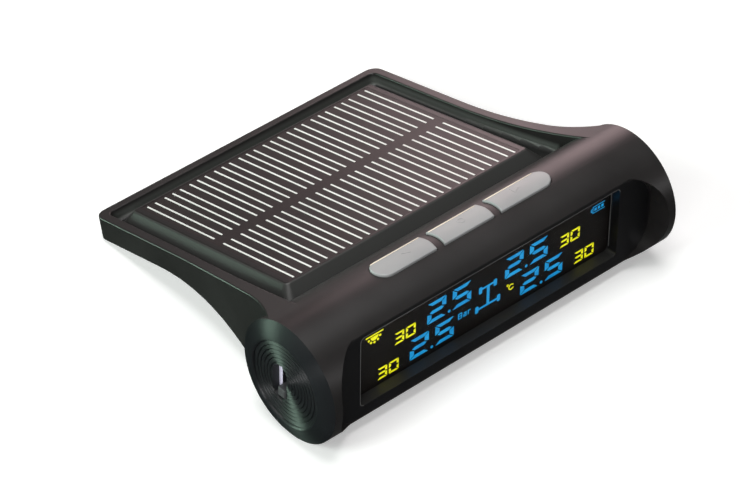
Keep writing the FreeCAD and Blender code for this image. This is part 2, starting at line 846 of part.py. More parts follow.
def board_screws():
    screws = []
    for x in (-34.5, 33.0):
        head = Part.makeCylinder(1.8, 0.9, vec(x, -6.5, BOARD_BACK - 0.9))
        shank = Part.makeCylinder(0.9, 1.3, vec(x, -6.5, BOARD_BACK))
        slot = box(x - 1.3, x + 1.3, -6.7, -6.3, BOARD_BACK - 1.0, BOARD_BACK - 0.5)
        screws.append(head.fuse(shank).cut(slot))
    return faced(Part.makeCompound(screws))


def controller_chip():
    """Square chip with a row of legs on each side."""
    chip = box(25.2, 32.2, -3.2, 3.8, -2.1, -0.9)
    legs = []
    for i in range(8):
        offset = 0.85 + 0.75 * i
        legs.append(box(25.2 + offset - 0.15, 25.2 + offset + 0.15, -4.0, 4.6, -0.9, -0.7))
        legs.append(box(24.4, 33.0, -3.2 + offset - 0.15, -3.2 + offset + 0.15, -0.9, -0.7))
    return faced(chip.fuse(legs).removeSplitter())


def receiver_can():
    can = rounded_box(-34.0, -24.5, -4.8, 4.2, -2.6, BOARD_BACK, 0.6)
    return faced(can)


def buzzer():
    body = Part.makeCylinder(4.2, 2.9, vec(14.5, -14.0, -6.9 + 0.1))
    return body.cut(Part.makeCylinder(0.8, 1, vec(14.5, -14.0, -7.0)))


def antenna_coil():
    """Helical receiving aerial standing off the receiver."""
    helix = Part.makeHelix(1.5, 12.0, 1.7)
    start = vec(1.7, 0, 0)
    section = Part.Wire(Part.makeCircle(0.28, start, vec(0, 1, 0)))
    coil = Part.Wire(helix.Edges).makePipeShell([section], True, True)
    coil.rotate(vec(0, 0, 0), vec(0, 1, 0), 90)
    coil.translate(vec(-20.0, -13.5, -7.2))
    return coil


def usb_socket():
    """Charging socket on the board's right edge, open to the end cap."""
    shell = rounded_box(-3.8, 3.8, -1.45, 1.45, 35.6, 41.4, 0.9)
    mouth = rounded_box(-3.4, 3.4, -1.05, 1.05, 36.6, 42.0, 0.7)
    shell = shell.cut(mouth)
    blade = box(-2.6, 2.6, 0.05, 0.65, 36.4, 40.6)
    return faced(sideways(shell.fuse(blade)))


def battery_cell():
    start = vec(-BATTERY_LENGTH / 2, BATTERY_Y, BATTERY_Z)
    cell = Part.makeCylinder(BATTERY_R, BATTERY_LENGTH, start, X_DIR)
    ends = [e for e in cell.Edges if e.BoundBox.XLength < 0.01]
    cell = cell.makeFillet(0.6, ends)
    nub = Part.makeCylinder(2.0, 0.8, vec(BATTERY_LENGTH / 2 - 0.1, BATTERY_Y, BATTERY_Z), X_DIR)
    return cell.fuse(nub)


def battery_cradle():
    """Foam saddle that holds the cell off the bottom cover."""
    block = box(-18, 18, BATTERY_Y - 1.5, BATTERY_Y + 6.5, -19.5, BATTERY_Z - 3.2)
    block = block.cut(Part.makeCylinder(BATTERY_R, 60, vec(-30, BATTERY_Y, BATTERY_Z), X_DIR))
    return block.cut(cover_slab(-5, COVER_T + 0.02))


def battery_leads():
    y = BATTERY_Y
    z = BATTERY_Z
    end = BATTERY_LENGTH / 2
    plus = [vec(end + 0.7, y, z), vec(end + 2.2, y, z), vec(end + 2.2, y - 2.0, z + 3.0)]
    minus = [vec(-end, y, z), vec(-end - 1.8, y, z), vec(-end - 1.8, y - 2.0, z + 3.0)]
    return Part.makeCompound([wire_run(plus, 0.45), wire_run(minus, 0.45)])


# ------------------------------------------------------------ solar panel


def solar_frame():
    """Sloping surround of the panel, with its crest rounded."""
    low = rounded_edges(
        -CREST_HALF - SLOPE_RUN, CREST_HALF + SLOPE_RUN,
        CREST_FRONT - SLOPE_RUN, CREST_REAR + SLOPE_RUN, 2.2, -RECESS_DEPTH,
    )
    high = rounded_edges(-CREST_HALF, CREST_HALF, CREST_FRONT, CREST_REAR, 0.9, 0)
    body = Part.makeLoft([Part.Wire(low), Part.Wire(high)], True, True)
    crest = [e for e in body.Edges if e.BoundBox.ZMin > -0.01]
    body = body.makeFillet(CREST_ROUND, crest)
    return body.cut(panel_blank(-5, 5, 0))


def panel_blank(z0, z1, gap):
    half = PANEL_HALF - gap
    return rounded_box(-half, half, PANEL_FRONT + gap, PANEL_REAR - gap, z0, z1, 0.5)


def solar_panel():
    return panel_blank(-PANEL_T - LINE_HEIGHT, -LINE_HEIGHT, 0.02)


def solar_foam():
    pad = panel_blank(-RECESS_DEPTH, -PANEL_T - LINE_HEIGHT, 0.6)
    return pad.cut(Part.makeCylinder(1.6, 5, vec(LEAD_HOLE[0], LEAD_HOLE[1], -5)))


def line_positions():
    """X of every collector line, in groups with a wider gap between them."""
    steps = []
    for count in LINE_GROUPS:
        steps += [LINE_PITCH] * (count - 1) + [LINE_GROUP_GAP]
    width = sum(steps[:-1])
    positions = [-width / 2]
    for step in steps[:-1]:
        positions.append(positions[-1] + step)
    return positions


def solar_grid_lines():
    bars = []
    for x in line_positions():
        for y0, y1 in ((LINE_INNER_Y, LINE_OUTER_Y), (-LINE_OUTER_Y, -LINE_INNER_Y)):
            bars.append(box(x - LINE_WIDTH / 2, x + LINE_WIDTH / 2, y0, y1, -LINE_HEIGHT, 0))
    return Part.makeCompound(bars)


def solar_leads():
    """Two insulated leads through the recess floor to the main board."""
    x, y = LEAD_HOLE
    leads = []
    for side in (-0.6, 0.6):
        points = [
            vec(x + side, y, -PANEL_T - LINE_HEIGHT - 0.02),
            vec(x + side, y, -4.7),
            vec(x + side, y - 9.0, -5.0),
            vec(x + side, -36.7, -4.6),
        ]
        leads.append(wire_run(points, 0.4))
    return Part.makeCompound(leads)


PIECES = {
    "top_shell": top_shell,
    "bottom_cover": bottom_cover,
    "housing_screws": housing_screws,
    "base_pad": base_pad,
    "left_end_cap": left_end_cap,
    "right_end_cap": right_end_cap,
    "display_bezel": display_bezel,
    "display_window": display_window,
    "lcd_panel": lcd_panel,
    "lcd_holder": lcd_holder,
    "backlight": backlight,
    "lcd_pins": lcd_pins,
    "lcd_pressure_marks": lcd_pressure_marks,
    "lcd_temperature_marks": lcd_temperature_marks,
    "button_left": lambda: button("button_left", arrow_mark(-13.3, -1)),
    "button_middle": lambda: button("button_middle", ring_mark(0.4)),
    "button_right": lambda: button("button_right", arrow_mark(14.1, 1)),
    "button_board": button_board,
    "tact_switches": tact_switches,
    "power_switch_body": power_switch_body,
    "power_switch_knob": power_switch_knob,
    "switch_terminals": switch_terminals,
    "main_board": main_board,
    "board_screws": board_screws,
    "controller_chip": controller_chip,
    "receiver_can": receiver_can,
    "buzzer": buzzer,
    "antenna_coil": antenna_coil,
    "usb_socket": usb_socket,
    "battery_cell": battery_cell,
    "battery_cradle": battery_cradle,
    "battery_leads": battery_leads,
    "solar_frame": solar_frame,
    "solar_panel": solar_panel,
    "solar_foam": solar_foam,
    "solar_grid_lines": solar_grid_lines,
    "solar_leads": solar_leads,
}


def main():
    os.makedirs("parts", exist_ok=True)
    for name, make in PIECES.items():
        shape = standing(make())
        shape.exportStep(os.path.join("parts", name + ".step"))
        print(name, len(shape.Solids), shape.isValid(), round(shape.Volume, 1))


main()
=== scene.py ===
import math

import bpy
from mathutils import Matrix, Vector


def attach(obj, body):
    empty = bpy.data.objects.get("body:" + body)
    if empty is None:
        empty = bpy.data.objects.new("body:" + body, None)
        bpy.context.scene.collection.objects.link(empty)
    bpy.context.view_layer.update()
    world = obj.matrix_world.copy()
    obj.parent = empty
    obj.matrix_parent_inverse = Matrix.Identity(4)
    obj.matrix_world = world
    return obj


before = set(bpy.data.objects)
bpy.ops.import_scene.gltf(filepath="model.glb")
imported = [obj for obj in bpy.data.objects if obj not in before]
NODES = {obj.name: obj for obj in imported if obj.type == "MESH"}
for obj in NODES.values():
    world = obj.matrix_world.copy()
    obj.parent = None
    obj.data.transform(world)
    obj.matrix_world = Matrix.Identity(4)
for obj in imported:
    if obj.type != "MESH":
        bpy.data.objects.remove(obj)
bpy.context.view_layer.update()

# Directions and places on the standing part, in metres.
LEAN = math.radians(15.103)
PANEL_TURN = (-LEAN, 0.0, 0.0)
PANEL_ORIGIN = Vector((0.0, 0.0112485, 0.0120901))
PANEL_OUT = Vector((0.0, math.sin(LEAN), math.cos(LEAN)))
BUTTON_OUT = Vector((0.0, 0.154769, 0.987951))
BUTTON_REAR = Vector((0.0, 0.987951, -0.154769))
BARREL_AXIS = Vector((0.0, -0.026514, 0.012539))
FACET_OUT = Vector((0.0, -0.999558, 0.029725))
FACET_UP = Vector((0.0, 0.029725, 0.999558))
RIGHT = Vector((1.0, 0.0, 0.0))


# ---------------------------------------------------------- node graphs

# Sockets of a Mix node that blends colours: its factor and two colours, then its result.
MIX_INPUTS = (0, 6, 7)
MIX_RESULT = 2

# Range that most of a noise's values lie in, and the values that get its two plain tones.
NOISE_SPAN = (0.25, 0.75)
TONE_STOPS = (0.3, 0.7)

# Scale, detail and roughness of the noises.
PLASTIC_DRIFT = (70, 3.0, 0.5)
CAP_DRIFT = (90, 2.0, 0.5)
BEZEL_DRIFT = (90, 3.0, 0.5)
BRUSH_LINES = (900, 4.0, 0.65)
LAMP_CLOUD = (420, 2.0, 0.5)
FILM_SMEAR = (60, 3.0, 0.6)
CELL_WEAVE = (2600, 3.0, 0.6)
CELL_DRIFT = (45, 3.0, 0.55)
PAPER_CLOUD = (3, 2.0, 0.5)

# Moulded plastic's grain, and the relief of brushed metal.
GRAIN_SCALE = 5200
GRAIN_DETAIL = 2.0
GRAIN_ROUGHNESS = 0.6
GRAIN_STRENGTH = 0.12
GRAIN_DEPTH = 0.00004
BRUSH_STRENGTH = 0.15
BRUSH_DEPTH = 0.00003


class Graph:
    """Small helper round one node tree. Its methods take and return sockets."""

    def __init__(self, tree):
        self.tree = tree
        self.coords = self.node("ShaderNodeTexCoord")

    def feed(self, node, inputs):
        """Fill inputs, by name or number, with plain values or other nodes' sockets."""
        for key, value in inputs.items():
            if isinstance(value, bpy.types.NodeSocket):
                self.tree.links.new(value, node.inputs[key])
            else:
                node.inputs[key].default_value = value

    def node(self, kind, inputs=None, **settings):
        """Add a node and return its outputs."""
        node = self.tree.nodes.new(kind)
        for key, value in settings.items():
            setattr(node, key, value)
        self.feed(node, inputs or {})
        return node.outputs

    def ramp(self, source, stops):
        """Colours at places along a value that runs from 0 to 1."""
        node = self.tree.nodes.new("ShaderNodeValToRGB")
        elements = node.color_ramp.elements
        while len(elements) < len(stops):
            elements.new(0.5)
        for element, (place, colour) in zip(elements, stops):
            element.position = place
            element.color = (*colour, 1.0)
        self.feed(node, {"Fac": source})
        return node.outputs["Color"]

    def remap(self, source, span, result=(0.0, 1.0), **settings):
        """Value carried from one range to another, held at its ends."""
        inputs = {"Value": source}
        inputs["From Min"], inputs["From Max"] = span
        inputs["To Min"], inputs["To Max"] = result
        return self.node("ShaderNodeMapRange", inputs, **settings)["Result"]

    def number(self, operation, *sources):
        inputs = dict(enumerate(sources))
        return self.node("ShaderNodeMath", inputs, operation=operation)["Value"]

    def vector(self, operation, *sources, output="Vector"):
        inputs = dict(enumerate(sources))
        return self.node("ShaderNodeVectorMath", inputs, operation=operation)[output]

    def mix(self, factor, first, second, kind="MIX"):
        """Blend of two colours."""
        inputs = dict(zip(MIX_INPUTS, (factor, first, second)))
        return self.node("ShaderNodeMix", inputs, data_type="RGBA", blend_type=kind)[MIX_RESULT]


class Surface(Graph):
    """Node tree of one material, with its shader."""

    def __init__(self, name):
        self.material = bpy.data.materials.new(name)
        self.material.use_nodes = True
        tree = self.material.node_tree
        tree.nodes.clear()
        out = tree.nodes.new("ShaderNodeOutputMaterial")
        self.shader = tree.nodes.new("ShaderNodeBsdfPrincipled")
        super().__init__(tree)
        self.feed(out, {"Surface": self.shader.outputs["BSDF"]})

    def put(self, **values):
        """Fill the shader's inputs; an underscore stands for a space."""
        self.feed(self.shader, {key.replace("_", " "): value for key, value in values.items()})

    def mapping(self, scale, turn=(0, 0, 0), shift=(0, 0, 0)):
        """Object coordinates, turned, scaled and shifted."""
        inputs = {"Scale": scale, "Rotation": turn, "Location": shift}
        inputs["Vector"] = self.coords["Object"]
        return self.node("ShaderNodeMapping", inputs)["Vector"]

    def noise(self, scale, detail, roughness, stretch=(1, 1, 1), turn=(0, 0, 0)):
        inputs = {"Scale": scale, "Detail": detail, "Roughness": roughness}
        inputs["Vector"] = self.mapping(stretch, turn)
        return self.node("ShaderNodeTexNoise", inputs)["Fac"]

    def tones(self, source, dark, light):
        """Two colours that follow a noise."""
        return self.ramp(source, list(zip(TONE_STOPS, (dark, light))))

    def level(self, source, span):
        """Number that follows a noise."""
        return self.remap(source, NOISE_SPAN, span)

    def bump(self, height, strength, distance):
        inputs = {"Strength": strength, "Distance": distance, "Height": height}
        self.put(Normal=self.node("ShaderNodeBump", inputs)["Normal"])

    def grain(self, scale=GRAIN_SCALE, strength=GRAIN_STRENGTH, depth=GRAIN_DEPTH):
        """Fine spark-eroded grain."""
        self.bump(self.noise(scale, GRAIN_DETAIL, GRAIN_ROUGHNESS), strength, depth)

    def geometry(self, output):
        return self.node("ShaderNodeNewGeometry")[output]

    def axes(self, source):
        return self.node("ShaderNodeSeparateXYZ", {"Vector": source})

    def facing(self, direction):
        """Cosine between the surface normal and a direction."""
        return self.vector("DOT_PRODUCT", self.geometry("Normal"), direction, output="Value")

    def outward(self):
        """Positive on the shell's outer side walls, negative on walls that face inwards."""
        place = self.node("ShaderNodeNewGeometry")
        product = self.vector("MULTIPLY", place["Position"], place["Normal"])
        return self.number("SUBTRACT", self.axes(product)["X"], SIDE_WALL_REACH)

    def outside_box(self, centre, half):
        """Distance beyond a box that lies square to the solar panel; negative inside it."""
        upright = Matrix.Rotation(LEAN, 3, "X")
        shift = -(upright @ PANEL_ORIGIN) - Vector(centre)
        place = self.mapping((1, 1, 1), (LEAN, 0, 0), shift)
        parts = self.axes(self.vector("SUBTRACT", self.vector("ABSOLUTE", place), half))
        wide = self.number("MAXIMUM", parts["X"], parts["Y"])
        return self.number("MAXIMUM", wide, parts["Z"])


# ------------------------------------------------------------ materials

# Box round the shell's recess, in the panel's frame, and the run of its soft edge.
RECESS_MIDDLE = (0.0, 0.0009, -0.0033)
RECESS_REACH = (0.0374, 0.0274, 0.0030)
RECESS_FADE = (-0.0010, 0.0)

# Place along X times the normal's X, above which a wall counts as an outer side wall.
SIDE_WALL_REACH = 0.006

# Painted light by the cosine to the panel's outward direction. In the recess: lighter, faintly
# green walls and a painted highlight along their eased foot, over a dark floor.
RECESS_LIGHT_PAINT = [
    (0.0, (0.080, 0.086, 0.080)),
    (0.3, (0.095, 0.10, 0.094)),
    (0.55, (0.12, 0.122, 0.118)),
    (0.8, (0.04, 0.04, 0.04)),
    (0.97, (0.010, 0.010, 0.010)),
]
# On the surround: slopes in painted light, lightest as a painted highlight along the crest.
SLOPE_LIGHT_PAINT = [
    (0.60, (0.033, 0.034, 0.033)),
    (0.72, (0.034, 0.034, 0.033)),
    (0.88, (0.046, 0.045, 0.044)),
    (0.985, (0.013, 0.012, 0.012)),
]

# Radii between which the cap's turned face gives way to its rim, and the gloss of each.
CAP_RIM = (0.0086, 0.0092)
CAP_GLOSS = (1.0, 0.28)

# Cosine to the facet's upward direction over which the bezel's face turns into a window
# wall, and the roughness of each.
WALL_TILT = (0.35, 0.65)
WALL_ROUGHNESS = (0.3, 0.5)

# X of the switch's face plate, where it meets its moulded base.
PLATE_EDGE = (-0.04190, -0.04184)

# Scale of the track pattern on the circuit boards.
BOARD_TRACKS = (520, 520, 520)

# The housing's plain plastic.
SATIN_DARK = (0.011, 0.010, 0.010)
SATIN_LIGHT = (0.016, 0.0145, 0.0145)


def grey(value):
    return (value, value, value)


def grained(name, dark, light, rough, *grain):
    """Moulded plastic: fine grain and slow colour drift."""
    g = Surface(name)
    drift = g.noise(*PLASTIC_DRIFT)
    g.put(Base_Color=g.tones(drift, dark, light), Roughness=g.level(drift, rough))
    g.grain(*grain)
    return g.material


def painted_light_shell(name, dark, light, rough):
    """Housing plastic whose recess walls and their eased foot carry painted light: lighter walls
    and a painted highlight along the foot.
    """
    g = Surface(name)
    drift = g.noise(*PLASTIC_DRIFT)
    skin = g.tones(drift, dark, light)
    # Painted light: recess tones by facing stand in for light on the walls and a highlight along
    # their foot.
    recess_painted_light = g.ramp(g.facing(PANEL_OUT), RECESS_LIGHT_PAINT)
    away = g.number("MAXIMUM", g.outside_box(RECESS_MIDDLE, RECESS_REACH), g.outward())
    g.put(Base_Color=g.mix(g.remap(away, RECESS_FADE), recess_painted_light, skin))
    g.put(Roughness=g.level(drift, rough))
    g.grain()
    return g.material


def surround(name):
    """Panel surround: satin slopes in painted light, with a painted highlight along the crest."""
    g = Surface(name)
    drift = g.noise(*PLASTIC_DRIFT)
    # Painted light: slope tones by facing, lightest along the crest.
    g.put(Base_Color=g.ramp(g.facing(PANEL_OUT), SLOPE_LIGHT_PAINT))
    g.put(Roughness=g.level(drift, (0.30, 0.37)), Specular_IOR_Level=0.38)
    g.grain()
    return g.material


def brushed(name, dark, light, rough, stretch, metallic=1.0):
    """Metal with fine parallel brush lines."""
    g = Surface(name)
    lines = g.noise(*BRUSH_LINES, stretch)
    g.put(Base_Color=g.tones(lines, dark, light), Roughness=g.level(lines, rough))
    g.bump(lines, BRUSH_STRENGTH, BRUSH_DEPTH)
    g.put(Metallic=metallic)
    return g.material


def lit(name, deep, bright, strength):
    """Lit display character, a little uneven across its segments."""
    g = Surface(name)
    colour = g.tones(g.noise(*LAMP_CLOUD), deep, bright)
    g.put(Base_Color=colour, Emission_Color=colour)
    g.put(Emission_Strength=strength, Roughness=0.35)
    return g.material


def turned_cap(name):
    """Satin cap with lathe-turned fine rings that stretch its highlights."""
    g = Surface(name)
    tangent = g.node("ShaderNodeTangent", direction_type="RADIAL", axis="X")["Tangent"]
    drift = g.noise(*CAP_DRIFT)
    g.put(Base_Color=g.tones(drift, (0.007, 0.008, 0.009), (0.011, 0.012, 0.014)))
    g.put(Roughness=g.level(drift, (0.44, 0.5)))
    g.grain(GRAIN_SCALE, 0.08, 0.00003)
    flat = g.vector("MULTIPLY", g.geometry("Position"), (0, 1, 1))
    radius = g.vector("DISTANCE", flat, BARREL_AXIS, output="Value")
    g.put(Specular_IOR_Level=g.remap(radius, CAP_RIM, CAP_GLOSS))
    g.put(Tangent=tangent, Anisotropic=0.9, Anisotropic_Rotation=0.25)
    return g.material


def framed(name):
    """Bezel: dark polished face, with satin walls round the window painted greyer as painted
    light.
    """
    g = Surface(name)
    drift = g.noise(*BEZEL_DRIFT)
    # Painted light: the window walls get a greyer copy of the bezel's colour where light falls on
    # the sill.
    wall_painted_light = g.tones(drift, (0.020, 0.020, 0.020), (0.028, 0.028, 0.027))
    face = g.tones(drift, (0.0048, 0.0048, 0.0056), (0.0075, 0.0075, 0.0085))
    tilt = g.remap(g.facing(FACET_UP), WALL_TILT)
    g.put(Base_Color=g.mix(tilt, face, wall_painted_light))
    g.put(Roughness=g.remap(tilt, (0.0, 1.0), WALL_ROUGHNESS))
    g.grain(4200, 0.05, 0.00003)
    return g.material


def switch_plate(name):
    """Slide switch: pale lilac face plate over a dark moulded base."""
    g = Surface(name)
    lines = g.noise(*BRUSH_LINES, (8, 8, 1))
    base = g.tones(lines, (0.010, 0.010, 0.012), (0.02, 0.02, 0.023))
    plate = g.tones(lines, (0.62, 0.59, 0.74), (0.76, 0.73, 0.88))
    depth = g.remap(g.axes(g.geometry("Position"))["X"], PLATE_EDGE)
    g.put(Base_Color=g.mix(depth, plate, base), Roughness=g.level(lines, (0.3, 0.45)))
    g.bump(lines, BRUSH_STRENGTH, BRUSH_DEPTH)
    return g.material


def glass(name):
    """Clear film: mostly see-through, with a faint smear in its gloss."""
    g = Surface(name)
    smear = g.noise(*FILM_SMEAR)
    g.put(Base_Color=g.tones(smear, (0.01, 0.01, 0.012), (0.016, 0.016, 0.018)))
    g.put(Roughness=g.level(smear, (0.05, 0.1)), Alpha=0.12)
    return g.material


def board(name):
    """Green solder mask with faint tracks under it."""
    g = Surface(name)
    inputs = {"Vector": g.mapping(BOARD_TRACKS)}
    settings = {"feature": "DISTANCE_TO_EDGE", "distance": "MANHATTAN"}
    edge = g.node("ShaderNodeTexVoronoi", inputs, **settings)["Distance"]
    g.put(Base_Color=g.ramp(edge, [(0.04, (0.03, 0.22, 0.09)), (0.09, (0.012, 0.10, 0.045))]))
    g.bump(edge, 0.2, 0.00002)
    g.put(Roughness=0.32, Coat_Weight=0.3)
    return g.material


def cell_face(name):
    """Resin-coated solar cell: near black with a soft brown sheen and fine print grain."""
    g = Surface(name)
    weave = g.noise(*CELL_WEAVE, (1.0, 0.25, 1.0), PANEL_TURN)
    drift = g.noise(*CELL_DRIFT)
    g.put(Base_Color=g.tones(drift, (0.014, 0.011, 0.011), (0.024, 0.018, 0.018)))
    g.put(Roughness=g.level(weave, (0.36, 0.46)))
    g.bump(weave, 0.06, 0.00002)
    g.put(Coat_Weight=0.05, Coat_Roughness=0.25, Specular_IOR_Level=0.30)
    return g.material


# Name, darker and lighter colour, roughness range, then the grain's scale, strength and depth
# where they differ from the usual, or the brush lines' stretch.
HOUSING = grained("housing_satin", SATIN_DARK, SATIN_LIGHT, (0.33, 0.40))
SHELL = painted_light_shell("shell_satin", SATIN_DARK, SATIN_LIGHT, (0.33, 0.40))
FRAME = surround("surround_satin")
# Grey of the window beads: painted highlights.
WINDOW_GLINT_GREY = grained("window_glint_grey", grey(0.085), grey(0.14), (0.3, 0.4), 4200, 0.08)
BEZEL = framed("bezel_gloss")
BUTTON = grained("button_satin", (0.29, 0.295, 0.30), (0.35, 0.355, 0.36), (0.34, 0.42), 4200, 0.1)
KNOB = grained("knob_grey", (0.055, 0.055, 0.058), (0.085, 0.085, 0.088), (0.35, 0.45))
PLASTIC = grained("inner_black", grey(0.012), grey(0.03), (0.45, 0.6))
WHITE = grained("inner_white", (0.62, 0.62, 0.6), (0.75, 0.75, 0.73), (0.4, 0.5))
GUIDE = grained("light_guide", (0.7, 0.74, 0.72), (0.8, 0.84, 0.82), (0.15, 0.25))
RUBBER = grained("pad_rubber", grey(0.02), grey(0.045), (0.65, 0.85), 1800, 0.4, 0.0001)
SLEEVE = grained("cell_sleeve", (0.02, 0.09, 0.28), (0.03, 0.13, 0.36), (0.2, 0.3))
LEAD = grained("lead_insulation", (0.35, 0.015, 0.012), (0.5, 0.03, 0.025), (0.35, 0.45))
GLASS_DARK = grained(
    "display_dark", (0.0125, 0.0095, 0.0075), (0.018, 0.0138, 0.0108), (0.5, 0.6), 900, 0.02
)
# Cream of the button beads: a painted highlight.
CREAM_GLINT = brushed(
    "cream_painted_highlight", (0.80, 0.66, 0.50), (0.95, 0.84, 0.70), (0.3, 0.4), (1, 10, 10), metallic=0.1
)
CAN = brushed("tin_plate", (0.5, 0.5, 0.51), (0.72, 0.72, 0.73), (0.25, 0.4), (1, 12, 12))
PLATE = switch_plate("switch_plate")
STEEL = brushed("screw_steel", (0.35, 0.35, 0.36), (0.6, 0.6, 0.61), (0.25, 0.4), (5, 5, 1))
PIN = brushed("pin_plating", (0.6, 0.45, 0.2), (0.85, 0.68, 0.35), (0.2, 0.35), (4, 4, 1))
COPPER = brushed("aerial_copper", (0.55, 0.25, 0.12), (0.8, 0.42, 0.22), (0.2, 0.35), (6, 1, 1))
PRINT = grained("silver_print", (0.72, 0.72, 0.70), (0.88, 0.88, 0.86), (0.35, 0.5), 3000, 0.05)
BLUE = lit("lit_blue", (0.006, 0.22, 0.52), (0.012, 0.31, 0.64), 0.85)
YELLOW = lit("lit_yellow", (0.72, 0.70, 0.004), (0.88, 0.86, 0.012), 0.9)
CAP = turned_cap("cap_turned")
FILM = glass("window_film")
BOARD = board("solder_mask")
CELL = cell_face("cell_face")

FINISH = {
    "top_shell": SHELL,
    "bottom_cover": HOUSING,
    "housing_screws": STEEL,
    "base_pad": RUBBER,
    "left_end_cap": CAP,
    "right_end_cap": CAP,
    "display_bezel": BEZEL,
    "display_window": FILM,
    "lcd_panel": GLASS_DARK,
    "lcd_holder": WHITE,
    "backlight": GUIDE,
    "lcd_pins": PIN,
    "lcd_pressure_marks": BLUE,
    "lcd_temperature_marks": YELLOW,
    "button_left": BUTTON,
    "button_middle": BUTTON,
    "button_right": BUTTON,
    "button_board": BOARD,
    "tact_switches": CAN,
    "power_switch_body": PLATE,
    "power_switch_knob": KNOB,
    "switch_terminals": PIN,
    "main_board": BOARD,
    "board_screws": STEEL,
    "controller_chip": PLASTIC,
    "receiver_can": CAN,
    "buzzer": PLASTIC,
    "antenna_coil": COPPER,
    "usb_socket": CAN,
    "battery_cell": SLEEVE,
    "battery_cradle": RUBBER,
    "battery_leads": LEAD,
    "solar_frame": FRAME,
    "solar_panel": CELL,
    "solar_foam": RUBBER,
    "solar_grid_lines": PRINT,
    "solar_leads": LEAD,
}

for name, material in FINISH.items():
    data = NODES[name].data
    data.materials.clear()
    data.materials.append(material)


# ---------------------------------------------------------- thin beads

BEAD_SIDES = 10
BEAD_TIP = 0.3

# The push buttons' rear edge: its radius and place behind the barrel axis, and the cream bead
# there, a painted highlight along that edge.
BUTTON_GLINT_RADIUS = 0.01296
BUTTON_GLINT_BACK = 0.00219
BUTTON_GLINT_SINK = 0.00004
BUTTON_GLINT_TAPER = 0.00015
BUTTON_GLINT_HALF = 0.00013

# Piece, the button it rides on, and its left and right ends.
BUTTON_GLINTS = [
    ("button_glint_left", "left_button", -0.0203, -0.0084),
    ("button_glint_middle", "middle_button", -0.0061, 0.0055),
    ("button_glint_right", "right_button", 0.0080, 0.0200),
]

# The display window's opening, measured from the barrel axis, and the two grey beads on it,
# painted highlights along its edges.
WINDOW_HALF = 0.0324
WINDOW_LOW = -0.00735
WINDOW_HIGH = 0.00906
WINDOW_CORNER = 0.00095
CORNER_STEPS = 6
GLINT_OUT = 0.00746
GLINT_HALF = 0.00007
EDGE_INSET = 0.00009
EDGE_OUT = 0.00542
EDGE_TAPER = 0.0001


def bead(name, body, path, sides, rise, half, material):
    """Thin round bead swept along an open path, tapered at both ends."""
    corners = []
    for index, (point, side) in enumerate(zip(path, sides)):
        size = half * (BEAD_TIP if index in (0, len(path) - 1) else 1.0)
        for step in range(BEAD_SIDES):
            turn = 2 * math.pi * step / BEAD_SIDES
            across = side * (size * math.cos(turn))
            corners.append(point + across + rise * (size * math.sin(turn)))
    faces = []
    for index in range(len(path) - 1):
        low = index * BEAD_SIDES
        high = low + BEAD_SIDES
        for step in range(BEAD_SIDES):
            after = (step + 1) % BEAD_SIDES
            faces.append((low + step, low + after, high + after, high + step))
    faces.append(tuple(reversed(range(BEAD_SIDES))))
    faces.append(tuple(range(len(corners) - BEAD_SIDES, len(corners))))
    mesh = bpy.data.meshes.new(name)
    mesh.from_pydata(corners, [], faces)
    for polygon in mesh.polygons:
        polygon.use_smooth = True
    mesh.materials.append(material)
    piece = bpy.data.objects.new(name, mesh)
    bpy.context.scene.collection.objects.link(piece)
    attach(piece, body)


def button_glint(name, body, left, right):
    """Raised cream bead along the rear edge of a push button, a painted highlight on that edge."""
    height = math.sqrt(BUTTON_GLINT_RADIUS ** 2 - BUTTON_GLINT_BACK ** 2) - BUTTON_GLINT_SINK
    centre = BARREL_AXIS + BUTTON_REAR * BUTTON_GLINT_BACK + BUTTON_OUT * height
    places = (left, left + BUTTON_GLINT_TAPER, right - BUTTON_GLINT_TAPER, right)
    path = [centre + RIGHT * x for x in places]
    bead(name, body, path, [BUTTON_REAR] * len(path), BUTTON_OUT, BUTTON_GLINT_HALF, CREAM_GLINT)


def window_rim_glint():
    """Fine grey bead round the window, from its right upper corner to its left lower one: a
    painted highlight along the window's edge.
    """
    path = []
    outward = []
    corners = ((WINDOW_HALF, WINDOW_HIGH), (-WINDOW_HALF, WINDOW_HIGH), (-WINDOW_HALF, WINDOW_LOW))
    for quarter, (u, v) in enumerate(corners):
        u -= math.copysign(WINDOW_CORNER, u)
        v -= math.copysign(WINDOW_CORNER, v)
        for step in range(CORNER_STEPS + 1):
            turn = math.radians(90 * quarter + 90 // CORNER_STEPS * step)
            side = RIGHT * math.cos(turn) + FACET_UP * math.sin(turn)
            place = RIGHT * u + FACET_UP * v + side * WINDOW_CORNER
            path.append(BARREL_AXIS + place + FACET_OUT * GLINT_OUT)
            outward.append(side)
    bead("window_rim_glint", "housing", path, outward, FACET_OUT, GLINT_HALF, WINDOW_GLINT_GREY)


def window_side_glint():
    """Fine grey bead down the window's right inner edge: a painted highlight along it."""
    side = BARREL_AXIS + RIGHT * (WINDOW_HALF - EDGE_INSET) + FACET_OUT * EDGE_OUT
    low = WINDOW_LOW + WINDOW_CORNER
    high = WINDOW_HIGH - WINDOW_CORNER
    path = [side + FACET_UP * v for v in (low, low + EDGE_TAPER, high - EDGE_TAPER, high)]
    bead("window_side_glint", "housing", path, [RIGHT] * len(path), FACET_OUT, GLINT_HALF, WINDOW_GLINT_GREY)


for name, body, left, right in BUTTON_GLINTS:
    button_glint(name, body, left, right)
window_rim_glint()
window_side_glint()


# ------------------------------------------------------- camera and stage

# Solved from the photograph: place, turn and lens.
CAMERA_PLACE = (-0.344638, -0.370514, 0.449568)
CAMERA_TURN = (0.846069, -0.028987, -0.726063)
CAMERA_LENS = 169.53
CAMERA_SENSOR = 36.0

# The floor lies just under the foot pad, so that the two never share a plane.
FLOOR_REACH = 6.0
FLOOR_HEIGHT = -0.00005
FLOOR_GLOW = 0.27

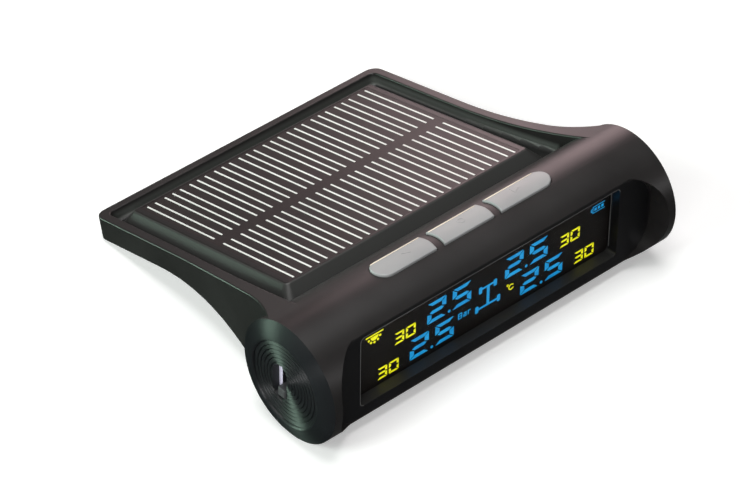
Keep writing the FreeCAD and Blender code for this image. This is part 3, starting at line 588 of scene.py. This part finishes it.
# Colours from straight down to straight up, and from left to right.
SKY_HEIGHT = [
    (0.0, (0.02, 0.02, 0.022)),
    (0.47, (0.05, 0.052, 0.05)),
    (0.56, (0.12, 0.112, 0.112)),
    (0.66, (0.155, 0.144, 0.142)),
    (0.76, (0.14, 0.132, 0.131)),
    (0.86, (0.09, 0.088, 0.088)),
    (1.0, (0.12, 0.12, 0.12)),
]
SKY_SIDE_SPAN = (-0.8, 0.6)
SKY_SIDE = [(0.0, (0.42, 0.60, 0.46)), (1.0, (1.0, 0.95, 0.95))]

# Soft round glows: direction, core and edge in degrees, colour, power.
SKY_GLOWS = [
    ((-0.586, 0.802, -0.113), 5, 14, (0.68, 1.0, 0.80), 16.0),
    ((0.53, -0.78, 0.30), 3, 12, (1.0, 0.99, 1.0), 2.2),
    ((0.92, 0.10, -0.38), 8, 45, (0.95, 1.0, 0.97), 0.25),
    ((0.511, 0.86, 0.06), 4, 12, (1.0, 0.85, 0.86), 0.5),
]

# Whether a lamp lights dull surfaces, and whether it shows in glossy ones.
ALL_LIGHT = (True, True)
SOFT_ONLY = (True, False)
GLOSS_ONLY = (False, True)

# Lamps: name, place, aim, size, watts, colour, reach.
LAMPS = [
    ("overhead", (0, 0.1, 1.3), (0, 0, 0), (0.9, 0.9), 11.5, (1, 0.985, 0.98), ALL_LIGHT),
    ("front_left", (-0.5, -0.42, 0.36), (0, 0, 0.01), (0.25, 0.25), 1.5, (1, 0.99, 1), ALL_LIGHT),
    (
        "rear_right", (0.167, 0.155, 0.108), (0.05, -0.01, 0.02), (0.10, 0.14), 0.15,
        (1, 0.74, 0.76), GLOSS_ONLY,
    ),
    ("left_fill", (-0.62, 0.05, 0.45), (0, 0, 0), (0.3, 0.3), 3.2, (0.93, 1, 0.95), SOFT_ONLY),
    (
        "left_rear", (-0.8, 0.5, 0.22), (-0.04, 0, 0.01), (0.25, 0.25), 0.6,
        (0.7, 1, 0.78), GLOSS_ONLY,
    ),
]


def make_camera():
    data = bpy.data.cameras.new("view")
    data.lens = CAMERA_LENS
    data.sensor_width = CAMERA_SENSOR
    data.sensor_fit = "HORIZONTAL"
    data.clip_start = 0.01
    camera = bpy.data.objects.new("view", data)
    camera.location = CAMERA_PLACE
    camera.rotation_euler = CAMERA_TURN
    bpy.context.scene.collection.objects.link(camera)
    bpy.context.scene.camera = camera


def make_floor():
    """Pale paper that takes soft shadows but doesn't show in glossy surfaces."""
    mesh = bpy.data.meshes.new("floor")
    around = [(-1, -1), (1, -1), (1, 1), (-1, 1)]
    corners = [(x * FLOOR_REACH, y * FLOOR_REACH, FLOOR_HEIGHT) for x, y in around]
    mesh.from_pydata(corners, [], [(0, 1, 2, 3)])
    floor = bpy.data.objects.new("floor", mesh)
    bpy.context.scene.collection.objects.link(floor)
    g = Surface("floor_paper")
    g.put(Base_Color=g.tones(g.noise(*PAPER_CLOUD), grey(0.90), grey(0.93)))
    g.put(Roughness=0.9, Specular_IOR_Level=0.1)
    g.put(Emission_Color=(1, 1, 1, 1), Emission_Strength=FLOOR_GLOW)
    mesh.materials.append(g.material)
    floor.visible_glossy = False
    floor.visible_shadow = False


def make_lamp(name, place, aim, size, power, colour, reach):
    data = bpy.data.lights.new(name, "AREA")
    data.shape = "RECTANGLE"
    data.size, data.size_y = size
    data.energy = power
    data.color = colour
    lamp = bpy.data.objects.new(name, data)
    lamp.location = place
    lamp.rotation_euler = (Vector(aim) - Vector(place)).to_track_quat("-Z", "Y").to_euler()
    lamp.visible_camera = False
    lamp.visible_diffuse, lamp.visible_glossy = reach
    bpy.context.scene.collection.objects.link(lamp)


def make_world():
    """Darkest below, soft and slightly warm above, greener to the left, with round glows."""
    world = bpy.data.worlds.new("studio")
    bpy.context.scene.world = world
    world.use_nodes = True
    sky = Graph(world.node_tree)
    way = sky.coords["Generated"]
    parts = sky.node("ShaderNodeSeparateXYZ", {"Vector": way})
    height = sky.ramp(sky.remap(parts["Z"], (-1.0, 1.0)), SKY_HEIGHT)
    side = sky.ramp(sky.remap(parts["X"], SKY_SIDE_SPAN), SKY_SIDE)
    colour = sky.mix(1.0, height, side, "MULTIPLY")
    for aim, core, edge, tint, power in SKY_GLOWS:
        near = sky.vector("DOT_PRODUCT", way, Vector(aim).normalized(), output="Value")
        span = (math.cos(math.radians(edge)), math.cos(math.radians(core)))
        glow = sky.remap(near, span, (0.0, power), interpolation_type="SMOOTHSTEP")
        scaled = sky.node("ShaderNodeVectorMath", {0: tint, "Scale": glow}, operation="SCALE")
        colour = sky.mix(1.0, colour, scaled["Vector"], "ADD")
    sky.feed(world.node_tree.nodes["Background"], {"Color": colour})


make_camera()
make_floor()
make_world()
for lamp in LAMPS:
    make_lamp(*lamp)

scene = bpy.context.scene
scene.view_settings.view_transform = "Standard"
scene.view_settings.look = "None"
